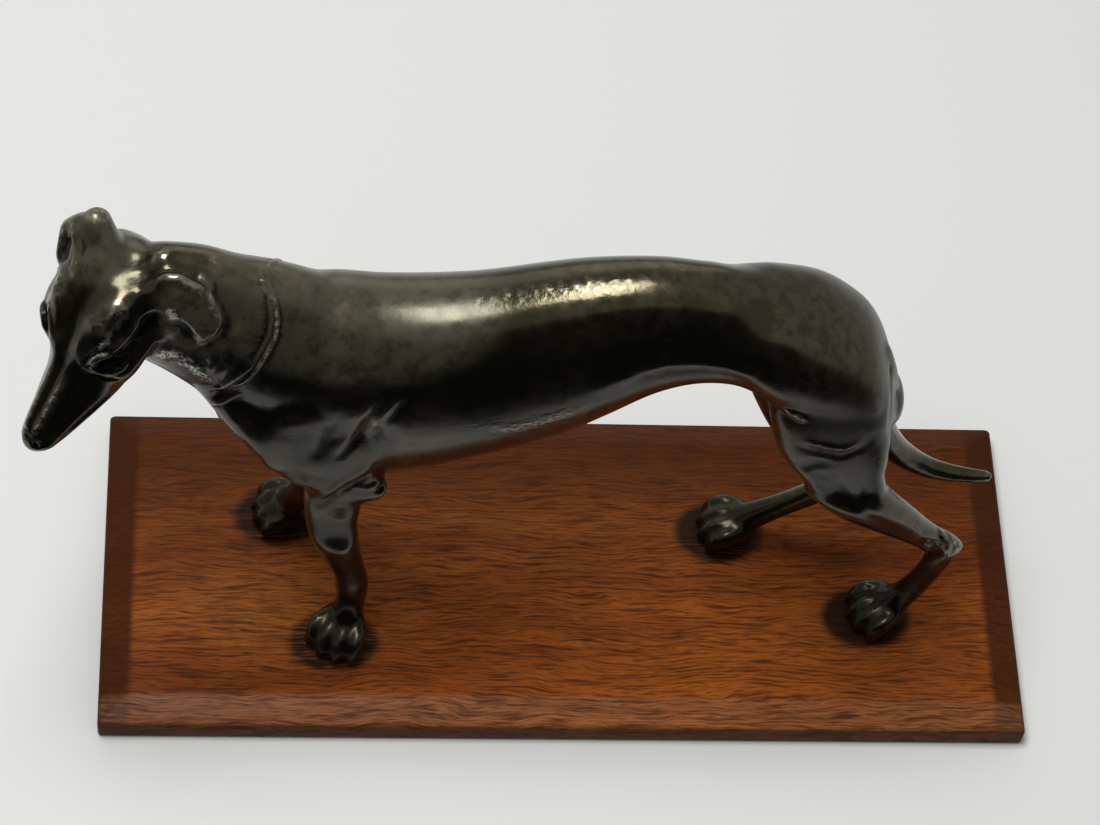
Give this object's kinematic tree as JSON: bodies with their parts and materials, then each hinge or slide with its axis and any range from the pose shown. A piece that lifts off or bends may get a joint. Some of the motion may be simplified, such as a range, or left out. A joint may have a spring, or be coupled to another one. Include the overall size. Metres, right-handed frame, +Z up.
{
  "type": "greyhound statue",
  "caption": "Standing greyhound in dark bronze, head lowered and turned aside, on a flat chamfered wooden plinth.",
  "frame": {"origin": "centre of the plinth's underside", "axes": "+X along the plinth towards the tail, the dog's head is at -X; -Y is the dog's left side; +Z up"},
  "size_m": [0.319, 0.117, 0.2007],
  "materials": {
    "bronze": "dark brown-black patinated bronze with an olive cast, semi-gloss, rubbed on the high points",
    "mahogany": "satin red-brown mahogany, grain along the board, worn front arris"
  },
  "bodies": {
    "root": {"greyhound": "bronze", "plinth": "mahogany"}
  },
  "joints": []
}
